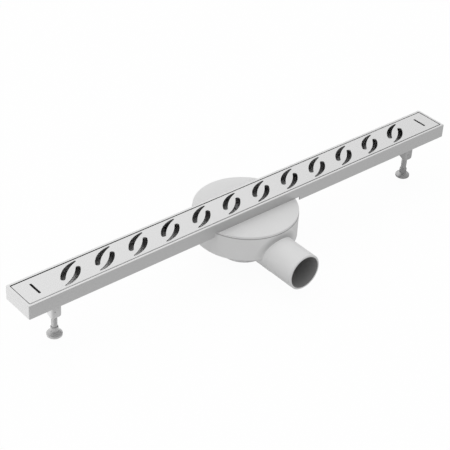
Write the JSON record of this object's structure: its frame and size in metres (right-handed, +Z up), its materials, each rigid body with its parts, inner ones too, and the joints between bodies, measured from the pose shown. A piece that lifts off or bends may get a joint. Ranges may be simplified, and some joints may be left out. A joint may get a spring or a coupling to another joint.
{
  "type": "linear shower drain",
  "caption": "Long narrow floor drain: folded steel channel with a slotted lift-out grate on a round water-seal trap with a side outlet, standing on screw feet.",
  "frame": {"origin": "centre of the trap's round base on the slab that the drain stands on, below the middle of the channel", "axes": "+X along the channel, -Y towards the side outlet, +Z up to the finished floor"},
  "size_m": [0.7, 0.188, 0.082],
  "materials": {
    "brushed_steel": "fine satin, grained along the channel",
    "bracket_steel": "dull mill finish sheet",
    "zinc_steel": "dull zinc plating",
    "light_plastic": "fine matt moulding, very light grey",
    "insert_plastic": "smooth moulding, mid grey",
    "pad_plastic": "smooth moulding, grey",
    "black_rubber": "soft matt rubber"
  },
  "bodies": {
    "drain": {"channel": "brushed_steel", "grate": "brushed_steel", "grate_rests": "black_rubber", "outlet_collar": "light_plastic", "collar_washer": "insert_plastic", "channel_gasket": "black_rubber", "trap_lid": "light_plastic", "trap_body": "light_plastic", "dip_tube": "insert_plastic", "insert_ring": "black_rubber", "seal_cup": "insert_plastic", "hair_strainer": "insert_plastic", "foot_bracket_left": "bracket_steel", "foot_nut_left": "zinc_steel", "foot_bracket_right": "bracket_steel", "foot_nut_right": "zinc_steel"},
    "left_foot": {"foot_screw_left": "zinc_steel", "foot_pad_left": "pad_plastic"},
    "right_foot": {"foot_screw_right": "zinc_steel", "foot_pad_right": "pad_plastic"}
  },
  "joints": [
    {"name": "left_foot_travel", "type": "slide", "parent": "drain", "child": "left_foot", "axis": [0, 0, 1], "range_m": [-0.008, 0.013]},
    {"name": "right_foot_travel", "type": "slide", "parent": "drain", "child": "right_foot", "axis": [0, 0, 1], "range_m": [-0.008, 0.013]}
  ]
}
